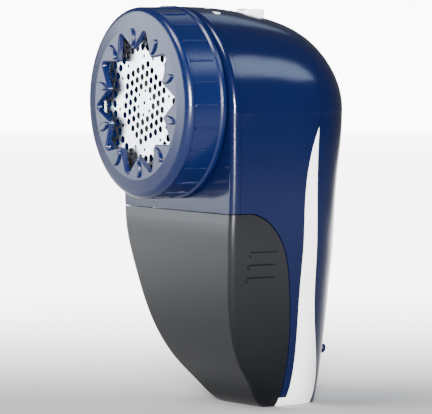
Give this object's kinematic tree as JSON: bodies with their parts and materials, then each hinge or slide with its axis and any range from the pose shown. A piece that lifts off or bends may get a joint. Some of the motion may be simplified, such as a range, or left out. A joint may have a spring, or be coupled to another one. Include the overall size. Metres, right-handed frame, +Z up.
{
  "type": "fabric shaver",
  "caption": "Handheld battery fabric shaver: round head with a star-shaped guard over a perforated foil, egg-shaped body, pull-down lint tray, slide switch and white base.",
  "frame": {"origin": "centre of the bounding box at the base plane", "axes": "+Z up, -Y towards the shaving head, +X to the right side"},
  "size_m": [0.0698, 0.0744, 0.1347],
  "materials": {
    "gloss_navy": "gloss",
    "navy_satin": "satin",
    "white_trim": "gloss",
    "smoke": "gloss",
    "inner_white": "satin",
    "black_plastic": "satin",
    "foil": "satin",
    "steel": "satin",
    "motor_steel": "satin",
    "magnet": "matt",
    "bronze": "satin",
    "cell": "gloss",
    "print_white": "matt"
  },
  "bodies": {
    "housing": {"front_bezel": "gloss_navy", "main_housing": "gloss_navy", "side_trim": "white_trim", "rear_cover": "gloss_navy", "door_hinge_pin": "steel", "lint_chute": "inner_white", "cutter_chamber": "navy_satin", "foil_ring": "navy_satin", "foil_screen": "foil", "motor_can": "motor_steel", "magnet_ring": "magnet", "motor_end_cap": "inner_white", "front_bearing": "bronze", "rear_bearing": "bronze", "motor_screw_left": "steel", "motor_screw_right": "steel", "inner_frame": "inner_white", "case_screw_left": "steel", "case_screw_right": "steel", "switch_body": "black_plastic", "battery_holder": "inner_white", "battery_cell_left": "cell", "battery_cell_right": "cell", "battery_spring_left": "steel", "battery_spring_right": "steel", "low_contact": "steel", "high_contact": "steel", "index_marks": "print_white"},
    "cutter": {"blades": "steel", "blade_hub": "inner_white", "motor_shaft": "steel", "armature": "motor_steel"},
    "guard": {"guard_cap": "navy_satin"},
    "tray": {"lint_tray": "smoke"},
    "switch": {"switch_knob": "white_trim"},
    "door": {"battery_door": "gloss_navy", "door_latch": "gloss_navy"}
  },
  "joints": [
    {"name": "cutter_spin", "type": "hinge", "parent": "housing", "child": "cutter", "pos_m": [0, -0.0203, 0.1025], "axis": [0, 1, 0], "continuous": true},
    {"name": "guard_twist", "type": "hinge", "parent": "housing", "child": "guard", "pos_m": [0, -0.0203, 0.1025], "axis": [0, -1, 0], "range_deg": [0, 45]},
    {"name": "tray_pull", "type": "slide", "parent": "housing", "child": "tray", "axis": [0, 0, -1], "range_m": [0, 0.07]},
    {"name": "switch_slide", "type": "slide", "parent": "housing", "child": "switch", "axis": [0, -0.9799, 0.1994], "range_m": [0, 0.004]},
    {"name": "battery_door_swing", "type": "hinge", "parent": "housing", "child": "door", "pos_m": [0, 0.0325, 0.0184], "axis": [-1, 0, 0], "range_deg": [0, 70]}
  ]
}
